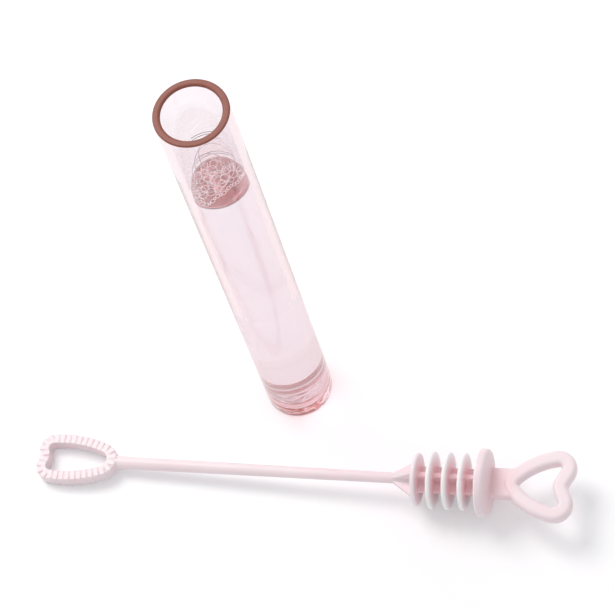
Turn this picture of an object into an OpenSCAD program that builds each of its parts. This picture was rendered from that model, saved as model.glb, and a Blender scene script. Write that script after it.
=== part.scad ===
// Bubble wand with its tube of solution. The tube stands open on its foot. The wand lies in front of it,
// parallel to X with its handle towards +X, on the edge of its cap and on the two lobes of its loop.
// The origin is the middle of the footprint of the two, on the surface that they stand on.

/* [Tube] */
// Outside diameter of the tube
tube_d = 15; // [12:0.5:24]
// Height of the tube
tube_h = 120; // [90:1:160]
// Thickness of the tube's wall
tube_wall = 1.5; // [1:0.1:2]
// Depth of the land in the mouth that the wand's fins seal against
seat_depth = 18; // [17:0.5:24]
// Height of the inner floor above the foot
floor_z = 5; // [4:0.5:20]
// Thickness of the inner floor
floor_t = 2.2; // [1:0.1:2.5]
// Radius in the corner between the wall and the inner floor
floor_fillet = 1; // [0.5:0.1:1.3]
// Rounding of the foot's outer edge
foot_round = 0.8; // [0.3:0.1:1]
// Rounding of the rim's outer edge
rim_round = 0.3; // [0.1:0.05:0.45]
// Rounding of the mouth's inner edge, which leads the plug in
mouth_round = 0.5; // [0.1:0.05:0.5]

/* [Solution and foam] */
// Air between the rim and the surface of the solution
headspace = 25.3; // [25:0.5:60]
// Height of the tallest bubble above the surface
foam_h = 5; // [3:0.25:6]

/* [Stem and plug] */
// Diameter of the stem where it meets the plug
stem_d = 2.4; // [2:0.1:3]
// Diameter of the stem where it meets the loop
stem_loop_d = 2.9; // [2:0.1:3]
// Space left under the loop when the wand is pushed home in the tube
dip_clear = 13.5; // [2:0.5:20]
// Number of sealing fins
fin_count = 4; // [3:1:5]
// Spacing of the fins along the plug
fin_pitch = 3.5; // [2.5:0.1:4]
// Distance from the cap to the middle of the nearest fin
fin_first = 3.4; // [2:0.1:4]
// How far each side of a fin is squeezed by the bore
fin_squeeze = 0.3; // [0.1:0.05:0.5]
// How far the leading fin stays inside the bore
lead_ease = 0.15; // [0.05:0.05:0.5]
// Thickness of a fin at its rounded rim
fin_rim = 0.7; // [0.4:0.1:1]
// Thickness of a fin where it meets the core
fin_root = 1.2; // [0.8:0.1:1.6]
// Width of the plug's cross-shaped core over two opposite webs
core_w = 6; // [4.5:0.1:8]
// Thickness of a web of the core
web_t = 1.2; // [0.8:0.1:1.6]
// Width of the pointed gussets where they meet the leading fin
gusset_w = 9; // [6:0.5:10]
// Length of the pointed gussets along the stem
gusset_len = 5; // [3:0.5:8]

/* [Cap and neck] */
// Length of the cap's cylindrical edge
cap_rim = 1.9; // [1.2:0.1:4]
// Height of the dome on the back of the cap
cap_dome = 0.8; // [0.4:0.1:2]
// Rounding of the cap's edge on the tube side
cap_round = 0.3; // [0.1:0.1:0.5]
// Rounding of the cap's edge on the handle side
cap_back_round = 0.7; // [0.2:0.1:1]
// Width of the flat neck between the cap and the handle
neck_w = 6.9; // [4:0.1:8]
// Thickness of the neck
neck_t = 2.4; // [1.8:0.1:2.8]
// Bare length of the neck, from the flat face of the cap to the handle
neck_len = 5.3; // [4:0.1:12]

/* [Heart handle] */
// Length of the handle over its outside
handle_len = 15.5; // [13:0.5:24]
// Width of the handle over its outside
handle_w = 16.4; // [14:0.5:24]
// Width of the handle's limb
handle_limb = 3.2; // [2.4:0.1:3.6]
// Thickness of the handle's limb
handle_t = 2.9; // [2.4:0.1:3.6]
// Rounding of the limb's four edges
handle_round = 0.9; // [0.4:0.1:1.1]
// Radius inside the handle's tip
handle_tip_in = 0.5; // [0.1:0.1:2]
// Radius inside each lobe of the handle
handle_lobe_in = 0.8; // [0.1:0.1:1.5]
// Radius of the long bowed side of the handle
handle_bow = 16.5; // [14:0.5:40]
// Slant of the two flanks that run into the handle's notch
handle_slant = 26; // [10:1:40]
// Radius outside the handle's notch
handle_notch_out = 0.8; // [0.2:0.1:1.5]

/* [Heart loop] */
// Length of the loop over its outside
loop_len = 18.5; // [14:0.5:24]
// Space between each side of the loop and the tube's bore
loop_clear = 0.55; // [0.3:0.05:1.5]
// Width of the loop's ring
ring_w = 2.2; // [1.6:0.1:2.6]
// Height of the loop's ring over its ribs
ring_h = 3.2; // [2.6:0.1:4]
// Radius inside the loop's tip, at the stem
loop_tip_in = 1.8; // [0.5:0.1:2.2]
// Radius inside each lobe of the loop
loop_lobe_in = 1.1; // [0.3:0.1:1.3]
// Radius inside the loop's notch
loop_notch_in = 2; // [1:0.1:3]
// Radius of the long bowed side of the loop
loop_bow = 27; // [18:1:60]
// Number of ribs on each half of each face
ribs_half = 16; // [10:1:20]
// Height of a rib above the ring between the ribs
rib_h = 0.42; // [0.2:0.02:0.6]
// Share of the spacing that a rib takes up
rib_share = 0.7; // [0.5:0.05:0.8]
// How far the ribs' ends stand out from the sides of the ring
rib_over = 0.1; // [0.05:0.05:0.2]

/* [Layout] */
// Distance from the tube's axis to the cap's flat face, along the wand
cap_x = 45; // [20:1:70]
// Distance from the tube's axis to the wand's axis
wand_away = 23; // [18:1:60]

/* [Hidden] */
$fn = 64;

// Overrun of every cut past the face that it leaves
cut = 1;
// Turn between two stations of a swept ring, and facets round a corner of its section
arc_step = 9;
corner_steps = 4;
clear_pink = [0.95, 0.74, 0.76, 0.4];
liquid_pink = [0.96, 0.84, 0.87, 0.5];
foam_white = [0.98, 0.93, 0.95, 0.6];
moulded_pink = [0.95, 0.83, 0.85];

// The tube's bore is drawn narrower below the land that the fins seal against
bore_draft = 0.2;
tube_r = tube_d / 2;
seat_r = tube_r - tube_wall;
bore_r = seat_r - bore_draft;
seat_z = tube_h - seat_depth;
surface_z = tube_h - headspace;
recess_r = bore_r;
recess_h = floor_z - floor_t;
recess_fillet = floor_fillet;

// Domes of film that stand on the surface: place across the bore and radius as shares of the bore's radius,
// then height as a share of the tallest one's. The froth between them is a share of that height too.
bubble_shares = [
    [0.13, 0.08, 0.8, 1], [-0.5, 0.42, 0.33, 0.66], [0.48, 0.5, 0.28, 0.6], [-0.4, -0.48, 0.34, 0.5],
    [0.3, -0.64, 0.26, 0.44], [-0.74, -0.06, 0.22, 0.46], [0.78, -0.12, 0.19, 0.4]
];
froth_share = 0.26;
froth_h = foam_h * froth_share;

// Plug, cap and handle, along the wand's own axis: the cap's flat face is at 0, the handle is at +X
stem_r = stem_d / 2;
cap_r = tube_r;
cap_len = cap_rim + cap_dome;
dome_r = (pow(cap_r, 2) + pow(cap_dome, 2)) / (2 * cap_dome);
fin_r = seat_r + fin_squeeze;
lead_fin_r = seat_r - lead_ease;
lead_x = -fin_first - (fin_count - 1) * fin_pitch;
gusset_x = lead_x - fin_root / 2;
point_x = gusset_x - gusset_len;
fin_bite = core_w / 4;
neck_round_share = 0.25;

// Centrelines of the two hearts. Each arc is [centre x, centre y, radius, first angle, last angle].
// A heart's tip is at x = 0 and its lobes are towards +x. Only the half with y >= 0 is listed.
handle_tip_r = handle_tip_in + handle_limb / 2;
handle_lobe_r = handle_lobe_in + handle_limb / 2;
handle_arcs = bowed_side(handle_len - handle_limb, handle_w - handle_limb, handle_tip_r, handle_lobe_r,
                         handle_bow, -handle_slant);
handle_x = neck_len + handle_limb / 2;
handle_end_x = neck_len + handle_len;
// The straight flank leaves the lobe at its slant and runs until it touches the arc of the notch
handle_notch_r = handle_notch_out + handle_limb / 2;
flank = arc_point(handle_arcs[2], -handle_slant);
flank_len = (flank[1] - handle_notch_r * sin(handle_slant)) / cos(handle_slant);
handle_notch = [flank[0] - flank_len * sin(handle_slant) + handle_notch_r * cos(handle_slant), 0, handle_notch_r,
                180 - handle_slant, 180];
// Stations of the handle's ring: [x, y, angle of the normal]
handle_half = concat(
    [for (arc = handle_arcs) each arc_stations(arc, arc_step, 0)],
    [concat(flank, -handle_slant)],
    arc_stations(handle_notch, arc_step, 180),
    [concat(arc_point(handle_notch, 180), 0)]
);
handle_stations = mirrored_back(handle_half);

loop_w = 2 * (seat_r - loop_clear);
loop_tip_r = loop_tip_in + ring_w / 2;
loop_lobe_r = loop_lobe_in + ring_w / 2;
loop_notch_r = loop_notch_in + ring_w / 2;
lobe_y = (loop_w - ring_w) / 2 - loop_lobe_r;
lobe_x = loop_len - ring_w - loop_lobe_r;
notch_reach = loop_lobe_r + loop_notch_r;
notch_slant = asin(lobe_y / notch_reach);
notch_x = lobe_x + notch_reach * cos(notch_slant);
loop_arcs = concat(
    bowed_side(loop_len - ring_w, loop_w - ring_w, loop_tip_r, loop_lobe_r, loop_bow, -notch_slant),
    [[notch_x, 0, loop_notch_r, 180 - notch_slant, 180]]
);
loop_half = path_length(loop_arcs);
rib_pitch = loop_half / ribs_half;
// Stations of the loop's ring: [x, y, angle of the normal, rise of the rib there]. A rib has a station at
// each of these shares of its half width.
rib_shares = [-1, -0.8, -0.4, 0.4, 0.8, 1];
loop_half_stations = concat(
    [concat(arc_point(loop_arcs[0], 180), [180, 0])],
    [for (i = [0 : ribs_half - 1], u = rib_shares)
        concat(along_path(loop_arcs, (i + 0.5 + u * rib_share / 2) * rib_pitch), sqrt(1 - u * u))],
    [concat(arc_point(loop_arcs[3], 180), [0, 0])]
);
loop_stations = mirrored_back(loop_half_stations);
ring_base_h = ring_h - 2 * rib_h;
ring_round = ring_w / 8;
wand_reach = tube_h - floor_z - dip_clear;
loop_x = -wand_reach + loop_len - ring_w / 2;

// The wand's tilt: the cap's front edge and the loop's far end both touch the surface
drop = cap_r - cap_round - ring_h / 2;
span = wand_reach + cap_round;
tilt = atan(drop / span) + asin(cap_round / norm([drop, span]));
axis_z = (cap_r - cap_round) * cos(tilt) + cap_round * (1 - sin(tilt));

// Footprint of the tube and the wand, to bring its middle to the origin
far_x = cap_x + handle_end_x * cos(tilt) + (handle_t / 2 - handle_round) * sin(tilt);
near_x = cap_x - (wand_reach + rib_over) * cos(tilt) - ring_base_h / 2 * sin(tilt);
near_y = -wand_away - max(handle_w / 2, cap_r);
mid_x = (far_x + near_x) / 2;
mid_y = (tube_r + near_y) / 2;

// What the source answers for on itself
loop_corner = norm([loop_w / 2, ring_h / 2]);
echo(loop_passes_bore_by = bore_r - loop_corner, plug_length = -point_x, wand_length = wand_reach + handle_end_x,
     rib_spacing = rib_pitch, tilt = tilt, fins_sit_on_land = seat_depth + gusset_x);

// Half of a heart's centreline, from its tip to the point of the lobe where the notch starts
function bowed_side(length, width, tip_r, lobe_r, bow_r, last) =
    let (
        lobe = [length - lobe_r, width / 2 - lobe_r],
        gap = lobe - [tip_r, 0],
        d = norm(gap),
        u = gap / d,
        a = bow_r - tip_r,
        b = bow_r - lobe_r,
        along = (a * a - b * b + d * d) / (2 * d),
        across = sqrt(a * a - along * along),
        centre = [tip_r, 0] + along * u + across * [u[1], -u[0]],
        leave = atan2(-centre[1], tip_r - centre[0]),
        meet = atan2(lobe[1] - centre[1], lobe[0] - centre[0])
    )
    [[tip_r, 0, tip_r, 180, leave], [centre[0], centre[1], bow_r, leave, meet], [lobe[0], lobe[1], lobe_r, meet, last]];

function arc_point(arc, angle) = [arc[0] + arc[2] * cos(angle), arc[1] + arc[2] * sin(angle)];
function arc_length(arc) = arc[2] * abs(arc[4] - arc[3]) * PI / 180;
function path_length(arcs, i = 0) = i < len(arcs) ? arc_length(arcs[i]) + path_length(arcs, i + 1) : 0;

// Place and heading [x, y, angle of the outward normal] at the distance s along a row of arcs. The arc of a
// notch bends the other way, so the normal there points at its centre.
function along_path(arcs, s, i = 0) =
    let (run = arc_length(arcs[i]))
    s > run && i < len(arcs) - 1
        ? along_path(arcs, s - run, i + 1)
        : let (angle = arcs[i][3] + (arcs[i][4] - arcs[i][3]) * s / run)
          concat(arc_point(arcs[i], angle), angle + (i == 3 ? 180 : 0));

// Stations along one arc, about a step of degrees apart, without the last one. The normal of a notch's arc
// is turned back by half a turn.
function arc_stations(arc, step, back) =
    let (count = max(2, ceil(abs(arc[4] - arc[3]) / step)))
    [for (i = [0 : count - 1])
        let (angle = arc[3] + (arc[4] - arc[3]) * i / count)
        concat(arc_point(arc, angle), angle - back)];

// The stations of a half, then those of its mirror image on the way back
function mirrored_back(half) = concat(
    half,
    [for (i = [len(half) - 2 : -1 : 1])
        [for (k = [0 : len(half[i]) - 1]) (k == 1 || k == 2 ? -1 : 1) * half[i][k]]]
);

// Section of the handle's limb, a rectangle with round corners
limb_section = [
    for (side = [[1, 1, 0], [-1, 1, 90], [-1, -1, 180], [1, -1, 270]], i = [0 : corner_steps])
        let (angle = side[2] + 90 * i / corner_steps)
        [side[0] * (handle_limb / 2 - handle_round) + handle_round * cos(angle),
         side[1] * (handle_t / 2 - handle_round) + handle_round * sin(angle)]
];

// Section of the loop's ring where a rib rises by the given share of its height
function ribbed_section(rise) =
    let (
        side = ring_w / 2,
        top = ring_base_h / 2,
        quarter = [
            [side, top - ring_round],
            [side + rib_over * rise, top + rib_h * rise / 3],
            [side - ring_round, top + rib_h * rise]
        ]
    )
    concat(
        quarter,
        [for (i = [2 : -1 : 0]) [-quarter[i][0], quarter[i][1]]],
        [for (p = quarter) -p],
        [for (i = [2 : -1 : 0]) [quarter[i][0], -quarter[i][1]]]
    );

// A rectangle with round corners, centred on the origin
module rounded(size, r) {
    square([size[0] - 2 * r, size[1]], center = true);
    square([size[0], size[1] - 2 * r], center = true);
    for (x = [-1, 1], y = [-1, 1])
        translate([x * (size[0] / 2 - r), y * (size[1] / 2 - r)]) circle(r);
}

// A closed solid through the sections, each set square to the ring's centreline at its own station
module closed_ring(stations, sections) {
    n = len(stations);
    m = len(sections[0]);
    points = [
        for (i = [0 : n - 1]) for (p = sections[i])
            [stations[i][0] + p[0] * cos(stations[i][2]), stations[i][1] + p[0] * sin(stations[i][2]), p[1]]
    ];
    faces = [
        for (i = [0 : n - 1], j = [0 : m - 1])
            let (a = i * m + j, b = i * m + (j + 1) % m, next = (i + 1) % n * m,
                 c = next + (j + 1) % m, d = next + j)
            each [[a, c, b], [a, d, c]]
    ];
    polyhedron(points, faces);
}

// Puts the children, modelled along the wand's axis, where the wand lies
module lying() {
    translate([cap_x - mid_x, -wand_away - mid_y, axis_z]) rotate([0, -tilt, 0]) children();
}

module standing() {
    translate([-mid_x, -mid_y, 0]) children();
}

// A solid of revolution about the wand's axis: x of the profile is the radius, y is the place along the axis
module turned() {
    rotate([90, 0, 90]) rotate_extrude() children();
}

module tube_outline() {
    translate([0, foot_round]) square([tube_r, tube_h - foot_round - rim_round]);
    square([tube_r - foot_round, foot_round]);
    translate([tube_r - foot_round, foot_round]) intersection() {
        circle(foot_round);
        translate([0, -foot_round]) square(foot_round);
    }
    translate([0, tube_h - rim_round]) square([tube_r - rim_round, rim_round]);
    translate([tube_r - rim_round, tube_h - rim_round]) intersection() {
        circle(rim_round);
        square(rim_round);
    }
}

// The space inside the tube below the height top, with its rounded corners
module bore_outline(top) {
    translate([0, floor_z]) square([bore_r - floor_fillet, floor_fillet]);
    translate([bore_r - floor_fillet, floor_z + floor_fillet]) intersection() {
        circle(floor_fillet);
        translate([0, -floor_fillet]) square(floor_fillet);
    }
    translate([0, floor_z + floor_fillet]) square([bore_r, top - floor_z - floor_fillet]);
}

module tube() {
    color(clear_pink) standing() rotate_extrude() difference() {
        tube_outline();
        bore_outline(seat_z);
        translate([0, seat_z]) square([seat_r, seat_depth + cut]);
        // rounded inner edge of the rim
        difference() {
            translate([seat_r, tube_h - mouth_round]) square([mouth_round, mouth_round + cut]);
            translate([seat_r + mouth_round, tube_h - mouth_round]) circle(mouth_round);
        }
        // hollow skirt under the floor
        translate([0, -cut]) square([recess_r, recess_h - recess_fillet + cut]);
        square([recess_r - recess_fillet, recess_h]);
        translate([recess_r - recess_fillet, recess_h - recess_fillet]) circle(recess_fillet);
    }
}

module solution() {
    color(liquid_pink) standing() rotate_extrude() bore_outline(surface_z);
}

// Domes of film on a thin bed of froth, inside the bore
module foam() {
    color(foam_white) standing() translate([0, 0, surface_z]) {
        cylinder(h = froth_h, r = bore_r);
        for (b = bubble_shares)
            translate([b[0] * bore_r, b[1] * bore_r, 0]) dome(b[2] * bore_r, b[3] * foam_h);
    }
}

// The part of a sphere above its foot on the surface
module dome(r, h) {
    rotate_extrude() intersection() {
        translate([0, h - r]) circle(r);
        square([r, h]);
    }
}

// The loop's ring, whose section rises and falls along the centreline to make the ribs
module bubble_loop() {
    color(moulded_pink) lying() translate([loop_x, 0, 0]) rotate([0, 0, 180])
        closed_ring(loop_stations, [for (at = loop_stations) ribbed_section(at[3])]);
}

module stem() {
    stem_from = loop_x - ring_w / 2;
    color(moulded_pink) lying() difference() {
        translate([stem_from, 0, 0]) rotate([0, 90, 0])
            cylinder(h = point_x - stem_from, r1 = stem_loop_d / 2, r2 = stem_r);
        loop_blank();
    }
}

// All that the loop's outer wall holds near the stem
module loop_blank() {
    translate([loop_x - loop_tip_r, 0, 0])
        cylinder(h = ring_h + cut, r = loop_tip_r + ring_w / 2, center = true);
}

module cross_outline(width) {
    square([width, web_t], center = true);
    square([web_t, width], center = true);
    circle(stem_r);
}

module plug_core() {
    color(moulded_pink) lying() {
        translate([gusset_x, 0, 0]) rotate([90, 0, 90]) linear_extrude(-gusset_x) cross_outline(core_w);
        for (turn = [0 : 90 : 270]) rotate([turn, 0, 0]) rotate([90, 0, 0]) linear_extrude(web_t, center = true)
            polygon([[point_x, 0], [gusset_x, 0], [gusset_x, gusset_w / 2], [point_x, stem_r]]);
        translate([point_x, 0, 0]) rotate([0, 90, 0]) cylinder(h = gusset_len, r = stem_r);
    }
}

// One fin's half section: a tapered disc with a round rim, from inside the core outwards
module fin_outline(r) {
    rim = r - fin_rim / 2;
    polygon([[0, -fin_root / 2], [fin_bite, -fin_root / 2], [rim, -fin_rim / 2],
             [rim, fin_rim / 2], [fin_bite, fin_root / 2], [0, fin_root / 2]]);
    translate([rim, 0]) circle(fin_rim / 2);
}

module sealing_fins() {
    color(moulded_pink) lying() difference() {
        for (i = [0 : fin_count - 1])
            translate([-fin_first - i * fin_pitch, 0, 0]) turned()
                fin_outline(i == fin_count - 1 ? lead_fin_r : fin_r);
        translate([gusset_x - cut, 0, 0]) rotate([90, 0, 90]) linear_extrude(cut - gusset_x) cross_outline(core_w);
    }
}

module cap_outline() {
    intersection() {
        union() {
            square([cap_r - cap_round, cap_round]);
            translate([0, cap_round]) square([cap_r, cap_rim - cap_round - cap_back_round]);
            translate([0, cap_rim - cap_back_round]) square([cap_r - cap_back_round, cap_back_round + cap_dome]);
            translate([cap_r - cap_round, cap_round]) circle(cap_round);
            translate([cap_r - cap_back_round, cap_rim - cap_back_round]) circle(cap_back_round);
        }
        translate([0, cap_len - dome_r]) circle(dome_r);
        square([cap_r, cap_len]);
    }
}

module cap_solid() {
    turned() cap_outline();
}

module cap() {
    color(moulded_pink) lying() cap_solid();
}

module neck() {
    color(moulded_pink) lying() difference() {
        rotate([90, 0, 90]) linear_extrude(handle_x + handle_tip_r)
            rounded([neck_w, neck_t], neck_t * neck_round_share);
        cap_solid();
        translate([handle_x, 0, 0]) handle_blank();
    }
}

// All that the handle's outer wall holds near the neck
module handle_blank() {
    linear_extrude(2 * handle_t, center = true)
        polygon([for (at = handle_stations) [at[0] + handle_limb / 2 * cos(at[2]), at[1] + handle_limb / 2 * sin(at[2])]]);
}

module heart_handle() {
    color(moulded_pink) lying() translate([handle_x, 0, 0])
        closed_ring(handle_stations, [for (at = handle_stations) limb_section]);
}

tube();
solution();
foam();
bubble_loop();
stem();
plug_core();
sealing_fins();
cap();
neck();
heart_handle();
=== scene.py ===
"""Bubble wand lying in front of its tube of solution.

The tube is clear pink polystyrene that stands on its foot, about three quarters full of solution with a raft
of soap films on it. The wand is one satin polyethylene moulding. Each sub-assembly is a class that holds its
sizes, builds its meshes and dresses them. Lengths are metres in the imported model's frame.
"""

import logging
from dataclasses import dataclass, field
from enum import Enum
from math import asin, atan, atan2, cos, exp, hypot, pi, radians, sin, sqrt

import bmesh
import bpy
from bmesh.types import BMEdge, BMesh, BMVert
from bpy.types import Material, NodeSocket, NodeTree, Object
from mathutils import Matrix, Vector


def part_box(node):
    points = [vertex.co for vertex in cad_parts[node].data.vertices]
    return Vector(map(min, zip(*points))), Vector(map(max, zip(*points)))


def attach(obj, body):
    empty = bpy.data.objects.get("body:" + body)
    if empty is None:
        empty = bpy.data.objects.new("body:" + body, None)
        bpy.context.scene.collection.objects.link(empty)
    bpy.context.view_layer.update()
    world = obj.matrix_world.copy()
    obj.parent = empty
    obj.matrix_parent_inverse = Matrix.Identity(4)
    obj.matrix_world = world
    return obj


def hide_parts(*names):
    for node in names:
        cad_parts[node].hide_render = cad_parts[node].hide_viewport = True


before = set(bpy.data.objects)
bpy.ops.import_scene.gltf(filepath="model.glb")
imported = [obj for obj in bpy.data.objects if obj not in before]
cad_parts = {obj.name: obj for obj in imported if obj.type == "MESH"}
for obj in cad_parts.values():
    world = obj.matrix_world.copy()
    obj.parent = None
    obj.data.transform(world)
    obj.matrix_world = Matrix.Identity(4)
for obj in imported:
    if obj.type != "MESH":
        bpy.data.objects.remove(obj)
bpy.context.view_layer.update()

MM = 0.001
# Vertices nearer to each other than this are made one
WELD = 0.0005 * MM
# A long straight edge is split this close to its ends
HOLD = 0.05 * MM
LONG_EDGE = 6 * HOLD
# The turn from one small bubble to the next
GOLDEN_ANGLE = 2.399963
# Attributes of the meshes: how thick the wand is, with painted shade and light, and how much the tube shows
# its flow and painted streaks
THICK_AND_SHADE = "thick"
FLOW_AND_PAINTED_LIGHT = "flow"
# Sockets of a Mix node for colours, by number because other kinds of value share their names
MIX_SHARE = 0
MIX_FROM = 6
MIX_TO = 7
MIX_COLOUR = 2
log = logging.getLogger("bubble_wand")


class Body(Enum):
    """The two bodies of the model."""

    VIAL = "vial"
    WAND = "wand"


class Slot(Enum):
    """The record's material slots."""

    TUBE = "tube_plastic"
    SOLUTION = "solution"
    FOAM = "foam"
    WAND = "wand_plastic"


class Rounded(Enum):
    """What a rounding is given to: the corners of an outline or the edges of a solid."""

    CORNERS = "VERTICES"
    EDGES = "EDGES"


# Colour and node helpers


def linear(code: str) -> tuple[float, float, float, float]:
    """Turns an sRGB hex colour into linear RGBA.

    Args:
        code: six hex digits, such as "f4dfe3".

    Returns:
        The linear red, green, blue and an alpha of 1.
    """
    shares = [int(code[i:i + 2], 16) / 255 for i in (0, 2, 4)]
    red, green, blue = [s / 12.92 if s <= 0.04045 else ((s + 0.055) / 1.055) ** 2.4 for s in shares]
    return red, green, blue, 1.0


def add_node(
    tree: NodeTree, kind: str, inputs: dict[str | int, object] | None = None, **settings: object
) -> bpy.types.Node:
    """Adds a node to a tree, with its settings, its values and its links.

    Args:
        tree: the node tree.
        kind: the node's type name, such as "ShaderNodeMixShader".
        inputs: for each input, by name or number, a value or the output socket that feeds it.
        settings: attributes of the node.

    Returns:
        The new node.
    """
    node = tree.nodes.new(kind)
    for name, value in settings.items():
        setattr(node, name, value)
    for name, value in (inputs or {}).items():
        if isinstance(value, NodeSocket):
            tree.links.new(value, node.inputs[name])
        else:
            node.inputs[name].default_value = value
    return node


def blank_material(name: str) -> tuple[Material, NodeTree]:
    """Makes a material with an empty node tree.

    Args:
        name: the material's name.

    Returns:
        The material and its tree.
    """
    material = bpy.data.materials.new(name)
    material.use_nodes = True
    material.node_tree.nodes.clear()
    return material, material.node_tree


def let_lamps_through(tree: NodeTree, shader: NodeSocket, tint: str) -> NodeSocket:
    """Lets rays from the lamps pass a clear shader straight on, so that it casts a pale shadow.

    Args:
        tree: the material's node tree.
        shader: the clear shader.
        tint: the colour that one surface leaves of the light, as sRGB hex.

    Returns:
        The mixed shader.
    """
    path = add_node(tree, "ShaderNodeLightPath")
    straight = add_node(tree, "ShaderNodeBsdfTransparent", {"Color": linear(tint)})
    mix = add_node(
        tree, "ShaderNodeMixShader", {0: path.outputs["Is Shadow Ray"], 1: shader, 2: straight.outputs[0]}
    )
    return mix.outputs[0]


# Finishes


@dataclass(frozen=True)
class SatinPolyethylene:
    """Injection-moulded low-density polyethylene: milky, a little light goes in, with a soft wide sheen."""

    shade: str = "f5e8ec"
    deep_shade: str = "f0dfe4"
    # Rims take painted light; the plug's core and the cap's back take painted shade and the rose of thick
    # plastic
    thin_and_lit_shade: str = "fffbfc"
    thick_and_shaded_shade: str = "f4d3d7"
    glow_share: float = 0.35
    inner_glow: tuple[float, float, float] = (1.0, 0.5, 0.48)
    glow_depth: float = 1.6 * MM
    cloud: float = 14 * MM
    least_roughness: float = 0.36
    most_roughness: float = 0.46
    # The matt grain of the mould, three times as coarse as a real one so that it still shows
    grain: float = 0.35 * MM
    grain_height: float = 0.02 * MM
    grain_strength: float = 0.12
    ior: float = 1.5

    def material(self) -> Material:
        """Builds the material.

        Returns:
            The material.
        """
        material, tree = blank_material("satin_polyethylene")
        place = add_node(tree, "ShaderNodeTexCoord").outputs["Object"]
        clouds = add_node(
            tree, "ShaderNodeTexNoise", {"Vector": place, "Scale": 1 / self.cloud, "Detail": 2.0}
        ).outputs["Fac"]
        # Rosier at the core between the fins and behind the cap, from thick plastic and painted shade; paler
        # at the rims, from painted light
        thick = add_node(tree, "ShaderNodeAttribute", attribute_name=THICK_AND_SHADE).outputs["Fac"]
        thin = add_node(tree, "ShaderNodeMath", {0: thick, 1: -1.0}, operation="MULTIPLY").outputs[0]
        colour: tuple[float, ...] | NodeSocket = linear(self.shade)
        for share, shade in ((clouds, self.deep_shade), (thick, self.thick_and_shaded_shade), (thin, self.thin_and_lit_shade)):
            colour = add_node(
                tree,
                "ShaderNodeMix",
                {MIX_SHARE: share, MIX_FROM: colour, MIX_TO: linear(shade)},
                data_type="RGBA",
            ).outputs[MIX_COLOUR]
        rough = add_node(
            tree,
            "ShaderNodeMapRange",
            {"Value": clouds, "To Min": self.least_roughness, "To Max": self.most_roughness},
        )
        grain = add_node(
            tree, "ShaderNodeTexNoise", {"Vector": place, "Scale": 1 / self.grain, "Detail": 3.0}
        ).outputs["Fac"]
        bump = add_node(
            tree,
            "ShaderNodeBump",
            {"Strength": self.grain_strength, "Distance": self.grain_height, "Height": grain},
        )
        skin = add_node(
            tree,
            "ShaderNodeBsdfPrincipled",
            {
                "Base Color": colour,
                "Roughness": rough.outputs[0],
                "IOR": self.ior,
                "Normal": bump.outputs[0],
                "Subsurface Weight": self.glow_share,
                "Subsurface Radius": self.inner_glow,
                "Subsurface Scale": self.glow_depth,
            },
        )
        add_node(tree, "ShaderNodeOutputMaterial", {"Surface": skin.outputs[0]})
        return material


@dataclass(frozen=True)
class ClearPolystyrene:
    """Tinted clear polystyrene, polished by its mould: faint lavender through a wall, rose along it.

    Its hollow foot isn't polished. There rose and white streaks are painted into its tint, partly the flow
    of the
    moulding and partly painted light: white highlights, and rose light carried along the pink plastic.
    """

    surface_tint: str = "f8fbfe"
    depth_colour: str = "ec606c"
    depth_density: float = 60.0
    shadow_tint: str = "f5fafb"
    # Painted light in the foot's streaks: the light stop is a painted highlight, the others rose light
    # carried along the plastic
    streak_dark: str = "842a22"
    streak_mid: str = "bd6054"
    streak_highlight: str = "fffafa"
    streak_stops: tuple[float, float, float] = (0.46, 0.54, 0.64)
    streak: float = 3.6 * MM
    streak_height: float = 1.5 * MM
    streak_detail: float = 1.5
    streak_curl: float = 1.6
    streak_roughness: float = 0.08
    streak_relief: float = 0.15 * MM
    ior: float = 1.58

    def material(self) -> Material:
        """Builds the material.

        Returns:
            The material.
        """
        material, tree = blank_material("clear_pink_polystyrene")
        place = add_node(tree, "ShaderNodeTexCoord").outputs["Object"]
        flow = add_node(tree, "ShaderNodeAttribute", attribute_name=FLOW_AND_PAINTED_LIGHT).outputs["Fac"]
        scale = (1 / self.streak, 1 / self.streak, 1 / self.streak_height)
        flat = add_node(tree, "ShaderNodeMapping", {"Vector": place, "Scale": scale})
        streaks = add_node(
            tree,
            "ShaderNodeTexNoise",
            {
                "Vector": flat.outputs[0],
                "Scale": 1.0,
                "Detail": self.streak_detail,
                "Distortion": self.streak_curl,
            },
        ).outputs["Fac"]
        ramp = add_node(tree, "ShaderNodeValToRGB", {"Fac": streaks})
        stops = ramp.color_ramp.elements
        # A new ramp has two stops, and this is the third
        stops.new(0.5)
        for stop, share, shade in zip(
            stops, self.streak_stops, (self.streak_dark, self.streak_mid, self.streak_highlight)
        ):
            stop.position = share
            stop.color = linear(shade)
        tint = add_node(
            tree,
            "ShaderNodeMix",
            {MIX_SHARE: flow, MIX_FROM: linear(self.surface_tint), MIX_TO: ramp.outputs["Color"]},
            data_type="RGBA",
        )
        matt = add_node(tree, "ShaderNodeMath", {0: flow, 1: self.streak_roughness}, operation="MULTIPLY")
        swirl = add_node(
            tree, "ShaderNodeBump", {"Strength": flow, "Distance": self.streak_relief, "Height": streaks}
        )
        glass = add_node(
            tree,
            "ShaderNodeBsdfPrincipled",
            {
                "Base Color": tint.outputs[MIX_COLOUR],
                "Roughness": matt.outputs[0],
                "IOR": self.ior,
                "Transmission Weight": 1.0,
                "Normal": swirl.outputs[0],
            },
        )
        surface = let_lamps_through(tree, glass.outputs[0], self.shadow_tint)
        depth = add_node(
            tree,
            "ShaderNodeVolumeAbsorption",
            {"Color": linear(self.depth_colour), "Density": self.depth_density},
        )
        add_node(tree, "ShaderNodeOutputMaterial", {"Surface": surface, "Volume": depth.outputs[0]})
        return material


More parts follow.
